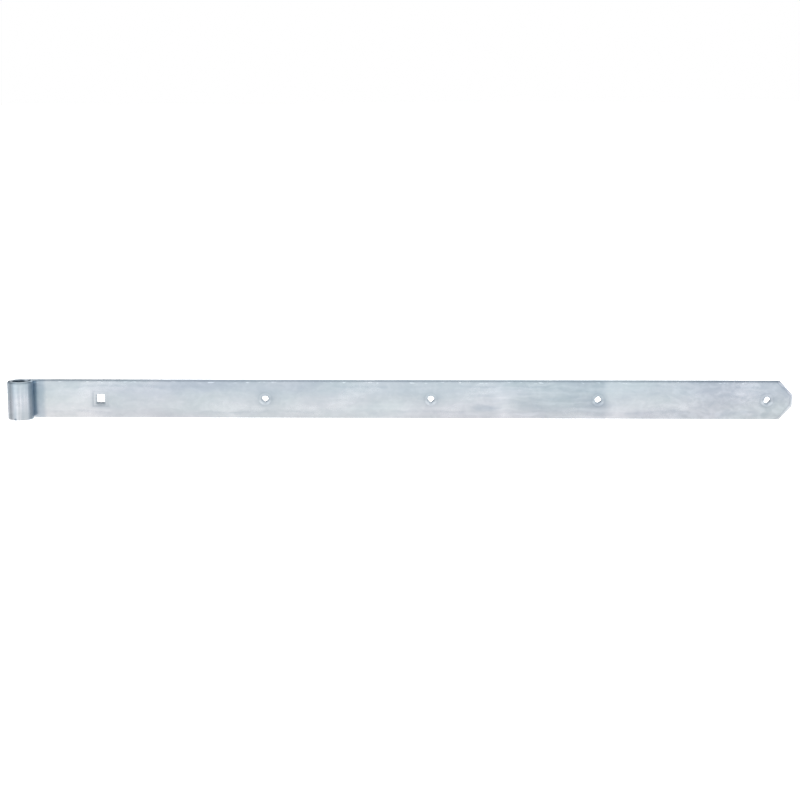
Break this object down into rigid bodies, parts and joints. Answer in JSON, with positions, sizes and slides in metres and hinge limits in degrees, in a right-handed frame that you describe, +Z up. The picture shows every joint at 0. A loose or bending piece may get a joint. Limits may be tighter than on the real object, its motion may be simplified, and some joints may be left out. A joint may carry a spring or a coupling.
{
  "type": "shutter strap hinge",
  "caption": "Galvanised flat strap hinge leaf for a window shutter, with a rolled eye for a pintle pin, a square bolt hole, round screw holes and a blunt pointed tip.",
  "frame": {"origin": "middle of the rolled eye, on the axis of the hinge pin, at half the strap's width", "axes": "+Z up along the pin axis, +X along the strap from the eye to the tip, -Y towards the front, the side that the eye is rolled to"},
  "size_m": [0.8, 0.0264, 0.04],
  "materials": {
    "galvanised_steel": "hot-dip galvanised, soft satin"
  },
  "bodies": {
    "root": {"hinge_strap": "galvanised_steel"}
  },
  "joints": []
}
